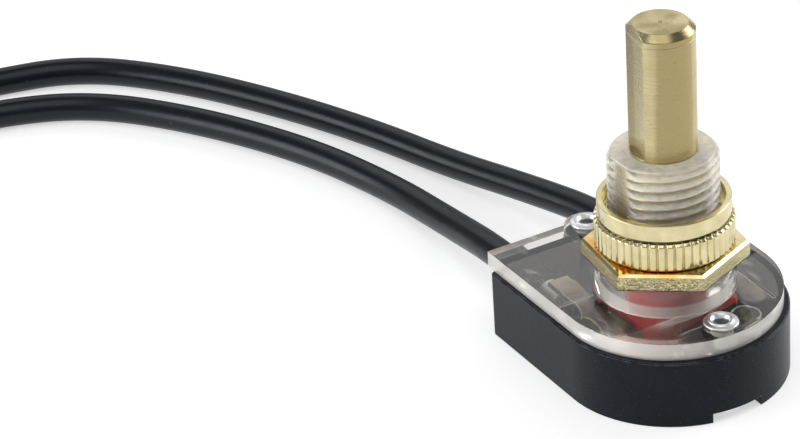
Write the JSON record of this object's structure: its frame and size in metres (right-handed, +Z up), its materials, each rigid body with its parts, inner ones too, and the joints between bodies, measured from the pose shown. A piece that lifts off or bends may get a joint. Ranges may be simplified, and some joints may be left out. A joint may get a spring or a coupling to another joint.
{
  "type": "rotary canopy switch",
  "caption": "Rotary on/off lamp switch with D-shaft, threaded clear bushing, clamping nuts, riveted D-shaped base and flying leads.",
  "frame": {"origin": "where the shaft's axis meets the underside of the base", "axes": "+Z up along the shaft, -Y towards the round front, +Y towards the flat back where the leads leave"},
  "size_m": [0.086, 0.1031, 0.035],
  "materials": {
    "black_phenolic": "moulded, semi-gloss",
    "clear_plastic": "clear moulded, glossy",
    "brass": "turned and plated, bright",
    "tinned_brass": "tinned, bright",
    "phosphor_bronze": "rolled strip",
    "spring_steel": "rolled strip",
    "red_nylon": "moulded",
    "fibre": "punched washer",
    "copper": "stranded",
    "black_pvc": "extruded, semi-gloss"
  },
  "bodies": {
    "housing": {"base_housing": "black_phenolic", "clear_cover": "clear_plastic", "front_rivet": "tinned_brass", "rear_rivet": "tinned_brass", "contact_left": "phosphor_bronze", "contact_right": "phosphor_bronze", "crimp_left": "tinned_brass", "crimp_right": "tinned_brass", "conductor_left": "copper", "conductor_right": "copper", "lead_left": "black_pvc", "lead_right": "black_pvc", "bare_end_left": "copper", "bare_end_right": "copper", "thrust_washer": "fibre", "detent_spring": "spring_steel"},
    "rotor": {"shaft": "brass", "rotor_cam": "red_nylon", "contact_bridge": "phosphor_bronze"},
    "hex_nut": {"hex_nut": "brass"},
    "ring_nut": {"ring_nut": "brass"}
  },
  "joints": [
    {"name": "shaft_turn", "type": "hinge", "parent": "housing", "child": "rotor", "pos_m": [0, 0, 0.0224], "axis": [0, 0, 1], "continuous": true, "deforming": ["detent_spring"]},
    {"name": "ring_nut_travel", "type": "slide", "parent": "housing", "child": "ring_nut", "axis": [0, 0, 1], "range_m": [0, 0.0047]},
    {"name": "hex_nut_turn", "type": "hinge", "parent": "housing", "child": "hex_nut", "pos_m": [0, 0, 0.0122], "axis": [0, 0, 1], "continuous": true}
  ]
}
